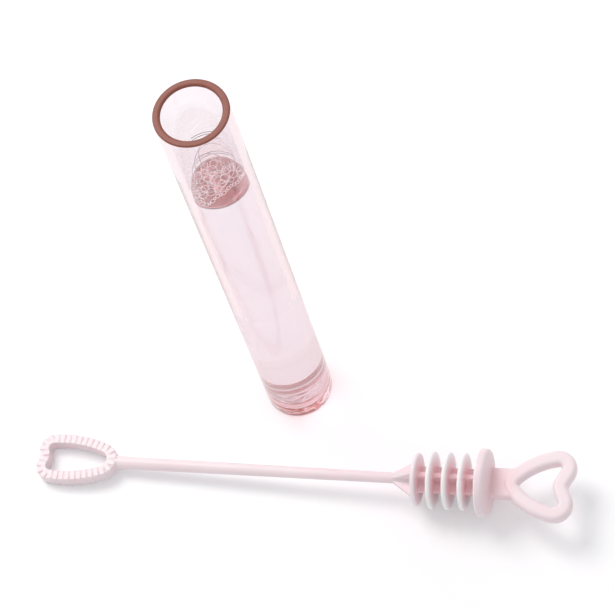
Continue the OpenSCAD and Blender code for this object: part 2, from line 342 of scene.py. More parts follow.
@dataclass(frozen=True)
class GlowingEdge:
    """The rim of the same polystyrene, painted opaque deep rose: painted light, where the light the wall has
    carried up comes out.
    """

    shade: str = "985f54"
    deep_shade: str = "8c5348"
    patch: float = 3 * MM
    roughness: float = 0.2
    sheen: float = 0.12
    ior: float = 1.58

    def material(self) -> Material:
        """Builds the material.

        Returns:
            The material.
        """
        material, tree = blank_material("polystyrene_rim")
        place = add_node(tree, "ShaderNodeTexCoord").outputs["Object"]
        patches = add_node(tree, "ShaderNodeTexNoise", {"Vector": place, "Scale": 1 / self.patch})
        colour = add_node(
            tree,
            "ShaderNodeMix",
            {
                MIX_SHARE: patches.outputs["Fac"],
                MIX_FROM: linear(self.shade),
                MIX_TO: linear(self.deep_shade),
            },
            data_type="RGBA",
        )
        skin = add_node(
            tree,
            "ShaderNodeBsdfPrincipled",
            {
                "Base Color": colour.outputs[MIX_COLOUR],
                "Roughness": self.roughness,
                "IOR": self.ior,
                "Specular IOR Level": self.sheen,
            },
        )
        add_node(tree, "ShaderNodeOutputMaterial", {"Surface": skin.outputs[0]})
        return material


@dataclass(frozen=True)
class BubbleSolution:
    """Water with soap and glycerine, clear with a faint warm tint."""

    depth_colour: str = "f9e8e4"
    depth_density: float = 7.0
    shadow_tint: str = "fdfbfc"
    ior: float = 1.34

    def material(self) -> Material:
        """Builds the material.

        Returns:
            The material.
        """
        material, tree = blank_material("bubble_solution")
        liquid = add_node(
            tree,
            "ShaderNodeBsdfPrincipled",
            {"Base Color": linear("ffffff"), "Roughness": 0.0, "IOR": self.ior, "Transmission Weight": 1.0},
        )
        surface = let_lamps_through(tree, liquid.outputs[0], self.shadow_tint)
        depth = add_node(
            tree,
            "ShaderNodeVolumeAbsorption",
            {"Color": linear(self.depth_colour), "Density": self.depth_density},
        )
        add_node(tree, "ShaderNodeOutputMaterial", {"Surface": surface, "Volume": depth.outputs[0]})
        return material


@dataclass(frozen=True)
class SoapFilm:
    """A soap film, far thinner than a hair: unseen face on, with a painted bright line and a painted dusky
    line at its edge, for what it reflects.
    """

    face_tint: str = "fffefe"
    bright: str = "fffafb"
    dusky: str = "a87c85"
    gloss: float = 0.015
    gloss_roughness: float = 0.03
    # How far the film is turned from the eye, 0 face on and 1 edge on, where its painted line begins, stops
    # being a painted highlight, and is full and a dusky painted reflection
    line_from: float = 0.68
    bright_until: float = 0.8
    line_full: float = 0.88
    line_cover: float = 0.85

    def material(self) -> Material:
        """Builds the material.

        Returns:
            The material.
        """
        material, tree = blank_material("soap_film")
        slant = add_node(tree, "ShaderNodeLayerWeight", {"Blend": 0.5}).outputs["Facing"]
        cover = add_node(
            tree,
            "ShaderNodeMapRange",
            {
                "Value": slant,
                "From Min": self.line_from,
                "From Max": self.line_full,
                "To Max": self.line_cover,
            },
            interpolation_type="SMOOTHSTEP",
        )
        # The edge's line is painted reflection: bright, then dusky
        line = add_node(tree, "ShaderNodeValToRGB", {"Fac": slant})
        for stop, share, shade in zip(
            line.color_ramp.elements, (self.bright_until, self.line_full), (self.bright, self.dusky)
        ):
            stop.position = share
            stop.color = linear(shade)
        clear = add_node(tree, "ShaderNodeBsdfTransparent", {"Color": linear(self.face_tint)})
        shine = add_node(
            tree, "ShaderNodeBsdfGlossy", {"Color": linear("ffffff"), "Roughness": self.gloss_roughness}
        )
        faces = add_node(
            tree, "ShaderNodeMixShader", {0: self.gloss, 1: clear.outputs[0], 2: shine.outputs[0]}
        )
        edge = add_node(tree, "ShaderNodeBsdfTranslucent", {"Color": line.outputs["Color"]})
        both = add_node(
            tree, "ShaderNodeMixShader", {0: cover.outputs[0], 1: faces.outputs[0], 2: edge.outputs[0]}
        )
        surface = let_lamps_through(tree, both.outputs[0], "ffffff")
        add_node(tree, "ShaderNodeOutputMaterial", {"Surface": surface})
        return material


@dataclass(frozen=True)
class SoapBorder:
    """Strands of liquid where films meet, which gather light.

    Their colour is painted light: among the bubbles they are painted white for the light that they gather,
    and on the wall a dusky painted shade.
    """

    name: str = "soap_border"
    shade: str = "fffcfc"
    gloss_share: float = 0.6
    clear_share: float = 0.05
    roughness: float = 0.3

    def material(self) -> Material:
        """Builds the material.

        Returns:
            The material.
        """
        material, tree = blank_material(self.name)
        tone = linear(self.shade)
        milky = add_node(tree, "ShaderNodeBsdfTranslucent", {"Color": tone})
        shine = add_node(tree, "ShaderNodeBsdfGlossy", {"Color": tone, "Roughness": self.roughness})
        clear = add_node(tree, "ShaderNodeBsdfTransparent", {"Color": tone})
        body = milky
        for share, shader in ((self.gloss_share, shine), (self.clear_share, clear)):
            sockets = {0: share, 1: body.outputs[0], 2: shader.outputs[0]}
            body = add_node(tree, "ShaderNodeMixShader", sockets)
        surface = let_lamps_through(tree, body.outputs[0], self.shade)
        add_node(tree, "ShaderNodeOutputMaterial", {"Surface": surface})
        return material


# Mesh helpers


@dataclass(frozen=True)
class Corner:
    """A corner of a turned outline: how far out and along it lies, its rounding and the facets of that."""

    radius: float
    along: float
    rounding: float = 0.0
    segments: int = 6


def kept_share(share: float) -> float:
    """Keeps a share between 0 and 1."""
    return min(1.0, max(0.0, share))


def towards(angle: float, distance: float = 1.0) -> Vector:
    """Gives the point at a distance from the origin, at an angle from the X axis."""
    return Vector((distance * cos(angle), distance * sin(angle), 0))


def turn(bm: BMesh, angle: float, axis: str) -> None:
    """Turns a whole mesh about the X, Y or Z axis."""
    bmesh.ops.rotate(bm, verts=bm.verts[:], cent=(0, 0, 0), matrix=Matrix.Rotation(angle, 3, axis))


def shift(bm: BMesh, way: Vector | tuple[float, float, float]) -> None:
    """Moves a whole mesh."""
    bmesh.ops.translate(bm, vec=way, verts=bm.verts[:])


def weld(bm: BMesh) -> None:
    """Makes vertices that lie together one."""
    bmesh.ops.remove_doubles(bm, verts=bm.verts[:], dist=WELD)


def face_out(bm: BMesh) -> None:
    """Turns every face outwards."""
    bmesh.ops.recalc_face_normals(bm, faces=bm.faces[:])


def round_off(
    bm: BMesh, items: list[BMVert] | list[BMEdge], radius: float, segments: int, what: Rounded
) -> None:
    """Rounds corners or edges of a mesh.

    Args:
        bm: the mesh.
        items: its vertices or edges to round.
        radius: radius of the rounding.
        segments: facets round it.
        what: whether they are corners or edges.
    """
    bmesh.ops.bevel(
        bm,
        geom=items,
        offset=radius,
        offset_type="OFFSET",
        segments=segments,
        profile=0.5,
        affect=what.value,
        material=-1,
    )


def hold_ends(bm: BMesh) -> None:
    """Splits every long edge of a chain close to both ends, so that smooth shading leaves its middle true.

    Args:
        bm: the mesh, a chain of edges.
    """
    for edge in [edge for edge in bm.edges if edge.calc_length() > LONG_EDGE]:
        first, last = edge.verts
        _, near = bmesh.utils.edge_split(edge, first, HOLD / edge.calc_length())
        run = next(edge for edge in last.link_edges if near in edge.verts)
        bmesh.utils.edge_split(run, last, HOLD / run.calc_length())


def turned(outline: list[Corner], steps: int, along_x: bool = False) -> BMesh:
    """Spins an outline into a closed solid about Z, or about X.

    Args:
        outline: the corners in order. It starts and ends on the axis.
        steps: facets round the axis.
        along_x: lays the solid along X.

    Returns:
        The solid's mesh.
    """
    bm = bmesh.new()
    points = [bm.verts.new((corner.radius, 0.0, corner.along)) for corner in outline]
    for near, far in zip(points, points[1:]):
        bm.edges.new((near, far))
    for corner, point in zip(outline, points):
        if corner.rounding > 0:
            round_off(bm, [point], corner.rounding, corner.segments, Rounded.CORNERS)
    hold_ends(bm)
    bmesh.ops.spin(
        bm,
        geom=bm.verts[:] + bm.edges[:],
        cent=(0, 0, 0),
        axis=(0, 0, 1),
        angle=2 * pi,
        steps=steps,
        use_merge=True,
    )
    weld(bm)
    if along_x:
        turn(bm, pi / 2, "Y")
    face_out(bm)
    return bm


def rounded_bar(size: Vector, middle: Vector, rounding: float, segments: int = 3) -> BMesh:
    """Makes a bar with rounded edges.

    Args:
        size: its length along X, Y and Z.
        middle: its centre.
        rounding: radius of its edges, or 0.
        segments: facets round an edge.

    Returns:
        The bar's mesh.
    """
    bm = bmesh.new()
    bmesh.ops.create_cube(bm, size=1.0)
    bmesh.ops.scale(bm, vec=size, verts=bm.verts[:])
    if rounding > 0:
        round_off(bm, bm.edges[:], rounding, segments, Rounded.EDGES)
    shift(bm, middle)
    return bm


def rounded_section(width: float, height: float, rounding: float, segments: int) -> BMesh:
    """Makes the closed edge loop of a rounded rectangle in the XZ plane, to be swept.

    Args:
        width: its size along X.
        height: its size along Z.
        rounding: radius of its corners.
        segments: facets round a corner.

    Returns:
        A mesh that holds only the loop.
    """
    bm = bmesh.new()
    bmesh.ops.create_grid(bm, x_segments=1, y_segments=1, size=0.5)
    bmesh.ops.scale(bm, vec=(width, height, 1), verts=bm.verts[:])
    round_off(bm, bm.verts[:], rounding, segments, Rounded.CORNERS)
    bmesh.ops.delete(bm, geom=bm.faces[:], context="FACES_ONLY")
    turn(bm, pi / 2, "X")
    return bm


def gathered(parts: list[BMesh]) -> BMesh:
    """Puts the parts in one mesh.

    Args:
        parts: the meshes, which are freed.

    Returns:
        The mesh that holds them all.
    """
    whole = bmesh.new()
    for part in parts:
        sheet = bpy.data.meshes.new("part")
        part.to_mesh(sheet)
        part.free()
        whole.from_mesh(sheet)
        bpy.data.meshes.remove(sheet)
    return whole


def in_scene(name: str, data: bpy.types.ID) -> Object:
    """Puts a mesh, a lamp or a camera in the scene.

    Args:
        name: the object's name.
        data: what it holds.

    Returns:
        The object.
    """
    holder = bpy.data.objects.new(name, data)
    bpy.context.scene.collection.objects.link(holder)
    return holder


def dress(mesh: bpy.types.Mesh, materials: list[Material]) -> None:
    """Gives a mesh that has no materials yet its materials, and smooth shading.

    Args:
        mesh: the mesh.
        materials: its materials, in slot order.
    """
    for material in materials:
        mesh.materials.append(material)
    mesh.shade_smooth()


def made_object(name: str, bm: BMesh, materials: list[Material]) -> Object:
    """Turns a mesh into a smooth object at the origin.

    Args:
        name: the object's name.
        bm: the mesh, which is freed.
        materials: its materials, in slot order.

    Returns:
        The object.
    """
    mesh = bpy.data.meshes.new(name)
    bm.to_mesh(mesh)
    bm.free()
    dress(mesh, materials)
    return in_scene(name, mesh)


def fused(piece: Object, voxel: float, smoothing: int) -> None:
    """Melts an object's overlapping solids into one skin, with the small fillets that a moulding has.

    Args:
        piece: the object.
        voxel: size of the skin's faces.
        smoothing: how often the skin is evened out.
    """
    melt = piece.modifiers.new("melt", "REMESH")
    melt.mode = "VOXEL"
    melt.voxel_size = voxel
    even = piece.modifiers.new("even", "SMOOTH")
    even.iterations = smoothing
    bpy.context.view_layer.update()
    done = piece.evaluated_get(bpy.context.evaluated_depsgraph_get())
    mesh = bpy.data.meshes.new_from_object(done)
    piece.modifiers.clear()
    mesh.name = piece.name
    mesh.materials.clear()
    dress(mesh, list(piece.data.materials))
    piece.data = mesh


def settle(piece: Object, body: Body, slot: Slot, *nodes: str) -> None:
    """Lets a piece ride on its body and stand for its nodes.

    Args:
        piece: the object.
        body: the body that carries it.
        slot: the record's slot for the piece, which is not used.
        nodes: the nodes that it stands for.
    """
    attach(piece, body.value)
    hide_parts(*nodes)
    faces = len(piece.data.polygons)
    log.info("%s: %d faces on %s, for %s", piece.name, faces, body.value, ", ".join(nodes))


# Sub-assemblies


@dataclass(frozen=True)
class Bubble:
    """A large bubble: its sphere's centre, from the tube's axis and the solution's level, and its radius."""

    x: float
    y: float
    z: float
    radius: float


@dataclass(frozen=True)
class WallLine:
    """A strand along the wall: its height over the solution, the angle at which it starts, and its sweep."""

    height: float
    start: float
    sweep: float


@dataclass
class SolutionTube:
    """The clear tube, its solution and the films on it."""

    radius: float = 7.5 * MM
    height: float = 120 * MM
    wall: float = 1.5 * MM
    bore_draft: float = 0.2 * MM
    land_depth: float = 18 * MM
    land_taper: float = 70 * MM
    floor_top: float = 5 * MM
    floor_thickness: float = 2.2 * MM
    floor_fillet: float = 1 * MM
    rim_round: float = 0.3 * MM
    mouth_round: float = 0.5 * MM
    foot_round: float = 0.8 * MM
    skirt_round: float = 0.15 * MM
    # Facets round the tube
    steps: int = 160
    # The painted streaks in the skirt leave this heading clear, so far to each side, and come in over as
    # much again.
    # That clear side is painted light: there the foot shows bright.
    clear_heading: float = radians(12)
    clear_reach: float = radians(22)

    surface: float = 94.7 * MM
    # The solution climbs the wall, and in the middle it sinks below its level by half of that
    climb: float = 0.3 * MM
    sink: float = 0.15 * MM
    climb_width: float = 0.5 * MM
    # The solution reaches this far into the wall, so that no gap is seen between the two
    soak: float = 0.04 * MM
    # The rings of its surface lie closer together towards the wall
    surface_rings: int = 14
    surface_crowding: float = 1.6

    film_thickness: float = 0.015 * MM
    film_rings: int = 28
    large_bubbles: tuple[Bubble, ...] = (
        Bubble(-1.8 * MM, 1.5 * MM, 1.2 * MM, 3.9 * MM),
        Bubble(-0.8 * MM, 3.1 * MM, 2.5 * MM, 4.3 * MM),
        Bubble(-0.3 * MM, 4.3 * MM, 4.0 * MM, 3.8 * MM),
        Bubble(1.1 * MM, 3.2 * MM, 1.3 * MM, 1.6 * MM),
        Bubble(-3.4 * MM, 1.9 * MM, 0.3 * MM, 0.95 * MM),
        Bubble(-1.4 * MM, 1.6 * MM, 0.3 * MM, 0.9 * MM),
        Bubble(-3.2 * MM, -2.1 * MM, 0.3 * MM, 1.0 * MM),
        Bubble(4.3 * MM, 2.9 * MM, 0.6 * MM, 1.2 * MM),
    )
    # The bare part of the surface lies beyond this line: the way it faces, and its distance from the axis
    bare_heading: float = radians(-42)
    bare_from_share: float = 0.44
    froth_count: int = 46
    froth_radius: float = 0.8 * MM
    froth_spread: float = 0.5
    edge_bubbles: int = 15
    edge_bubble: float = 0.32 * MM
    edge_spread: float = 0.3
    # A row of bubbles along the wall: how far round from the bare part's heading it starts, and their gaps
    wall_bubbles: int = 8
    wall_bubbles_from: float = radians(70)
    wall_bubbles_apart: float = radians(9)
    large_strand: float = 0.09 * MM
    small_strand: float = 0.07 * MM
    strand_sides: int = 6
    strand_step: float = 0.25 * MM
    fewest_strand_steps: int = 12
    # Strands on the wall, where larger bubbles touch it
    wall_lines: tuple[WallLine, ...] = (
        WallLine(1.6 * MM, radians(20), radians(130)),
        WallLine(2.4 * MM, radians(60), radians(80)),
        WallLine(7.6 * MM, radians(75), radians(75)),
        WallLine(8.4 * MM, radians(92), radians(45)),
        WallLine(0.9 * MM, radians(180), radians(60)),
        WallLine(-0.2 * MM, radians(-115), radians(150)),
    )

    tube_finish: ClearPolystyrene = ClearPolystyrene()
    rim_finish: GlowingEdge = GlowingEdge()
    solution_finish: BubbleSolution = BubbleSolution()
    film_finish: SoapFilm = SoapFilm()
    strand_finish: SoapBorder = SoapBorder()
    # The strands on the wall are painted dusky, a painted shade
    wall_line_finish: SoapBorder = SoapBorder("soap_line_on_wall", "7a5860", 0.2, 0.15)
    axis: Vector = field(default_factory=Vector)

    def __post_init__(self) -> None:
        """Takes the tube's axis from the frame."""
        low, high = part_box("tube")
        self.axis = Vector(((low.x + high.x) / 2, (low.y + high.y) / 2, 0.0))

    @property
    def land_radius(self) -> float:
        """Radius of the land in the mouth."""
        return self.radius - self.wall

    @property
    def bore_radius(self) -> float:
        """Radius of the bore below the land."""
        return self.land_radius - self.bore_draft

    def build_wall(self) -> Object:
        """Builds the tube, with its rim in a material of its own that paints its light deep rose.

        Returns:
            The tube's object.
        """
        land = self.height - self.land_depth
        under = self.floor_top - self.floor_thickness
        bm = turned(
            [
                Corner(0, self.floor_top),
                Corner(self.bore_radius, self.floor_top, self.floor_fillet, 8),
                Corner(self.bore_radius, land - self.land_taper),
                Corner(self.land_radius, land),
                Corner(self.land_radius, self.height, self.mouth_round, 6),
                Corner(self.radius, self.height, self.rim_round, 4),
                Corner(self.radius, 0, self.foot_round, 6),
                Corner(self.bore_radius, 0, self.skirt_round, 2),
                Corner(self.bore_radius, under, self.floor_fillet, 8),
                Corner(0, under),
            ],
            self.steps,
        )
        middle_of_wall = self.radius - self.wall / 2
        middle_of_floor = self.floor_top - self.floor_thickness / 2
        # How much of the painted streaks, partly flow and partly painted light, each vertex takes
        flow = bm.verts.layers.float.new(FLOW_AND_PAINTED_LIGHT)
        for vert in bm.verts:
            if vert.co.xy.length < middle_of_wall and vert.co.z < middle_of_floor:
                round_from = abs(atan2(vert.co.y, vert.co.x) - self.clear_heading)
                vert[flow] = kept_share((round_from - self.clear_reach) / self.clear_reach)
            else:
                # Outside, the painted streaks fade out up the foot's rounding, so the foot is darker towards
                # the bottom
                vert[flow] = max(0.0, 1 - vert.co.z / self.foot_round)
        for face in bm.faces:
            # The rim's faces take the painted deep rose light
            place = face.calc_center_median()
            depth = self.mouth_round if hypot(place.x, place.y) < middle_of_wall else self.rim_round
            face.material_index = int(place.z > self.height - depth)
        shift(bm, self.axis)
        return made_object("tube_wall", bm, [self.tube_finish.material(), self.rim_finish.material()])

    def meniscus(self, radius: float) -> float:
        """Height of the solution's surface at a distance from the axis."""
        share = exp((radius - self.bore_radius) / self.climb_width)
        return self.surface - self.sink + (self.sink + self.climb) * share

    def build_solution(self) -> Object:
        """Builds the solution, with its surface drawn up the wall.

        Returns:
            The solution's object.
        """
        side = self.bore_radius + self.soak
        bottom = self.floor_top - self.soak
        rings = self.surface_rings
        radii = [self.bore_radius * (1 - (i / rings) ** self.surface_crowding) for i in range(rings + 1)]
        bm = turned(
            [
                Corner(0, bottom),
                Corner(side, bottom, self.floor_fillet + self.soak, 8),
                Corner(side, self.meniscus(self.bore_radius)),
                *[Corner(radius, self.meniscus(radius)) for radius in radii],
            ],
            self.steps,
        )
        shift(bm, self.axis)
        return made_object("solution_fill", bm, [self.solution_finish.material()])

    def press_in(self, vert: BMVert, limit: float) -> float:
        """Presses a vertex towards the axis, so that it lies inside the wall.

        Args:
            vert: the vertex.
            limit: the most that it may be from the axis.

        Returns:
            Its distance from the axis.
        """
        out = vert.co.xy.length
        if out > limit:
            vert.co.xy *= limit / out
        return min(out, limit)

    def dome(self, bubble: Bubble) -> BMesh:
        """Makes one bubble of film, a thin closed shell that ends at the surface and flattens at the wall.

        Args:
            bubble: the bubble.

        Returns:
            Its mesh.
        """
        centre = Vector((bubble.x, bubble.y, bubble.z))
        rings = self.film_rings
        bm = bmesh.new()
        bmesh.ops.create_uvsphere(bm, u_segments=2 * rings, v_segments=rings, radius=bubble.radius)
        floor = self.meniscus(min(centre.xy.length, self.bore_radius))
        shift(bm, (centre.x, centre.y, floor + centre.z))
        bmesh.ops.bisect_plane(
            bm,
            geom=bm.verts[:] + bm.edges[:] + bm.faces[:],
            plane_co=(0, 0, floor - self.film_thickness),
            plane_no=(0, 0, 1),
            clear_inner=True,
        )
        # Three times its thickness keeps the film clear of the wall
        for vert in bm.verts:
            self.press_in(vert, self.bore_radius - 3 * self.film_thickness)
        face_out(bm)
        bmesh.ops.solidify(bm, geom=bm.faces[:], thickness=self.film_thickness)
        face_out(bm)
        return bm

    def strand(
        self, place: Vector, radius: float, thickness: float, start: float = 0.0, sweep: float = 2 * pi
    ) -> BMesh:
        """Makes a strand of liquid along a level circle, such as a bubble's foot.

        Args:
            place: the circle's middle, from the tube's axis and the solution's level.
            radius: its radius.
            thickness: radius of the strand.
            start: angle at which it starts.
            sweep: how far it runs, 2 pi for the whole circle.

        Returns:
            The strand's mesh.
        """
        bm = bmesh.new()
        bmesh.ops.create_circle(bm, cap_ends=sweep < 2 * pi, segments=self.strand_sides, radius=thickness)
        turn(bm, pi / 2, "X")
        shift(bm, (radius, 0, 0))
        bmesh.ops.spin(
            bm,
            geom=bm.verts[:] + bm.edges[:] + bm.faces[:],
            cent=(0, 0, 0),
            axis=(0, 0, 1),
            angle=sweep,
            steps=max(self.fewest_strand_steps, round(sweep * radius / self.strand_step)),
            use_merge=sweep >= 2 * pi,
        )
        weld(bm)
        turn(bm, start, "Z")
        shift(bm, place)
        for vert in bm.verts:
            vert.co.z += self.meniscus(self.press_in(vert, self.bore_radius - thickness))
        face_out(bm)
        return bm

    def is_bare(self, place: Vector, reach: float) -> bool:
        """Tells whether a bubble of that reach would lie on the bare part of the surface."""
        across = place.x * cos(self.bare_heading) + place.y * sin(self.bare_heading)
        return across + reach > self.bare_from_share * self.bore_radius

    def froth(self) -> list[tuple[Vector, float]]:
        """Places the small bubbles: from the axis outwards, along the bare part's edge, and on the wall.

        Their sizes and places vary with sines of their number, so that every run gives the same raft.

        Returns:
            For each, the middle of its foot and its radius.
        """
        bore = self.bore_radius
        bubbles = []
        for i in range(self.froth_count):
            radius = self.froth_radius * (1 + self.froth_spread * sin(2.1 * i) * cos(0.7 * i))
            place = towards(i * GOLDEN_ANGLE, bore * sqrt((i + 0.5) / self.froth_count))
            if not self.is_bare(place, radius):
                bubbles.append((place, radius))
        heading = towards(self.bare_heading)
        half_edge = sqrt(1 - self.bare_from_share ** 2)
        for i in range(self.edge_bubbles):
            radius = self.edge_bubble * (1 + self.edge_spread * cos(3 * i))
            along = ((2 * i + 1) / self.edge_bubbles - 1) * half_edge * (bore - radius)
            out = self.bare_from_share * bore - self.edge_bubble * (0.6 + 0.5 * sin(5 * i))
            bubbles.append((out * heading + along * Vector((-heading.y, heading.x, 0)), radius))
        for i in range(self.wall_bubbles):
            radius = self.edge_bubble * (1.2 + 0.4 * cos(2 * i))
            angle = self.bare_heading - self.wall_bubbles_from - self.wall_bubbles_apart * i
            bubbles.append((towards(angle, bore - radius * (1.1 + 0.9 * (i % 2))), radius))
        return bubbles

    def build_films(self) -> Object:
        """Builds the raft: a bed of small bubbles, a few large ones over it and the strands between them.

        Returns:
            The raft's object.
        """
        films = [self.dome(bubble) for bubble in self.large_bubbles]
        strands = []
        for bubble in self.large_bubbles:
            # Only a sphere that dips into the solution has a foot on it
            if abs(bubble.z) < bubble.radius:
                foot = sqrt(bubble.radius ** 2 - bubble.z ** 2)
                strands.append(self.strand(Vector((bubble.x, bubble.y, 0)), foot, self.large_strand))
        # The films of the smallest bubbles can't be seen, only the strands between them
        for place, radius in self.froth():
            strands.append(self.strand(place, radius, self.small_strand))
        lines = []
        for line in self.wall_lines:
            middle = Vector((0, 0, line.height))
            lines.append(self.strand(middle, self.bore_radius, self.large_strand, line.start, line.sweep))
        groups = [gathered(group) for group in (films, strands, lines)]
        for i, group in enumerate(groups):
            for face in group.faces:
                face.material_index = i
        whole = gathered(groups)
        shift(whole, self.axis)
        finishes = (self.film_finish, self.strand_finish, self.wall_line_finish)
        return made_object("film_raft", whole, [finish.material() for finish in finishes])

    def build(self) -> None:
        """Builds and dresses the tube, the solution and the films, and settles each on its body."""
        raft = self.build_films()
        settle(self.build_wall(), Body.VIAL, Slot.TUBE, "tube")
        settle(self.build_solution(), Body.VIAL, Slot.SOLUTION, "solution")
        settle(raft, Body.VIAL, Slot.FOAM, "foam")


@dataclass(frozen=True)
class Arc:
    """An arc of a heart's centreline, with its angles in radians."""

    centre: Vector
    radius: float
    start: float
    end: float

    @property
    def length(self) -> float:
        """Length along the arc."""
        return self.radius * abs(self.end - self.start)

    def at(self, distance: float) -> tuple[Vector, float]:
        """Place and angle of the normal at a distance along the arc."""
        angle = self.start + (self.end - self.start) * distance / self.length
        return self.centre + self.radius * towards(angle), angle


@dataclass
class Heart:
    """A heart's centreline, tip at the origin and lobes towards +X: tip, bowed side, lobe, flank, notch.

    The flank between the lobe and the notch is straight. With no slant it has no length.
    """

    length: float
    width: float
    tip_radius: float
    lobe_radius: float
    bow_radius: float
    notch_radius: float
    flank_slant: float | None = None
    fewest_steps: int = 3

    @property
    def lobe(self) -> Vector:
        """Centre of the lobe's arc."""
        return Vector((self.length - self.lobe_radius, self.width / 2 - self.lobe_radius, 0))

    @property
    def slant(self) -> float:
        """Works out how the flank lies.

        Returns:
            The angle between the flank and the Y axis.
        """
        if self.flank_slant is None:
            return asin(self.lobe.y / (self.lobe_radius + self.notch_radius))
        return self.flank_slant

    @property
    def flank(self) -> Vector:
        """Works out the straight run between the two arcs that it joins.

        Returns:
            The way from the end of the lobe's arc to the start of the notch's.
        """
        start = self.lobe.y - self.lobe_radius * sin(self.slant)
        length = (start - self.notch_radius * sin(self.slant)) / cos(self.slant)
        return Vector((-sin(self.slant), -cos(self.slant), 0)) * length

    def arcs(self) -> list[Arc]:
        """Works out the arcs of the half with y above 0.

        Returns:
            The arcs of the tip, the bowed side, the lobe and the notch.
        """
        tip = Vector((self.tip_radius, 0, 0))
        lobe = self.lobe
        gap = lobe - tip
        apart = gap.length
        along = gap / apart
        to_tip = self.bow_radius - self.tip_radius
        to_lobe = self.bow_radius - self.lobe_radius
        reach = (to_tip ** 2 - to_lobe ** 2 + apart ** 2) / (2 * apart)
        across = sqrt(to_tip ** 2 - reach ** 2)
        bow = tip + reach * along + across * Vector((along.y, -along.x, 0))
        leave = atan2(tip.y - bow.y, tip.x - bow.x)
        meet = atan2(lobe.y - bow.y, lobe.x - bow.x)
        off = (self.lobe_radius + self.notch_radius) * cos(self.slant)
        notch = Vector((lobe.x + off + self.flank.x, 0, 0))
        return [
            Arc(tip, self.tip_radius, pi, leave),
            Arc(bow, self.bow_radius, leave, meet),
            Arc(lobe, self.lobe_radius, meet, -self.slant),
            Arc(notch, self.notch_radius, pi - self.slant, pi),
        ]

    def swept(self, section: BMesh, step: float) -> BMesh:
        """Sweeps a section round the heart by a spin for each arc, then mirrors the half.

        Args:
            section: the closed loop of the section about the origin, in the XZ plane. It becomes the ring.
            step: length between two rings of vertices.

        Returns:
            The ring's mesh.
        """
        bm = section
        end: list[BMVert | BMEdge] = bm.verts[:] + bm.edges[:]
        for arc in self.arcs():
            if arc.end == pi and self.flank.length > WELD:
                edges = [item for item in end if isinstance(item, BMEdge)]
                end = bmesh.ops.extrude_edge_only(bm, edges=edges)["geom"]
                end = [item for item in end if isinstance(item, (BMVert, BMEdge))]
                verts = [item for item in end if isinstance(item, BMVert)]
                bmesh.ops.translate(bm, vec=self.flank, verts=verts)
            spun = bmesh.ops.spin(
                bm,
                geom=end,
                cent=arc.centre,
                axis=(0, 0, 1),
                angle=arc.end - arc.start,
                steps=max(self.fewest_steps, round(arc.length / step)),
            )
            end = [item for item in spun["geom_last"] if isinstance(item, (BMVert, BMEdge))]
        bmesh.ops.mirror(bm, geom=bm.verts[:] + bm.edges[:] + bm.faces[:], merge_dist=WELD, axis="Y")
        weld(bm)
        face_out(bm)
        return bm

    def stations(self, count: int) -> list[tuple[Vector, float]]:
        """Finds even stations along the half.

        Args:
            count: how many.

        Returns:
            For each, its place and the angle of the normal there.
        """
        arcs = self.arcs()
        whole = sum(arc.length for arc in arcs)
        found = []
        for i in range(count):
            rest = (i + 0.5) * whole / count
            for arc in arcs:
                if rest <= arc.length or arc is arcs[-1]:
                    found.append(arc.at(rest))
                    break
                rest -= arc.length
        return found


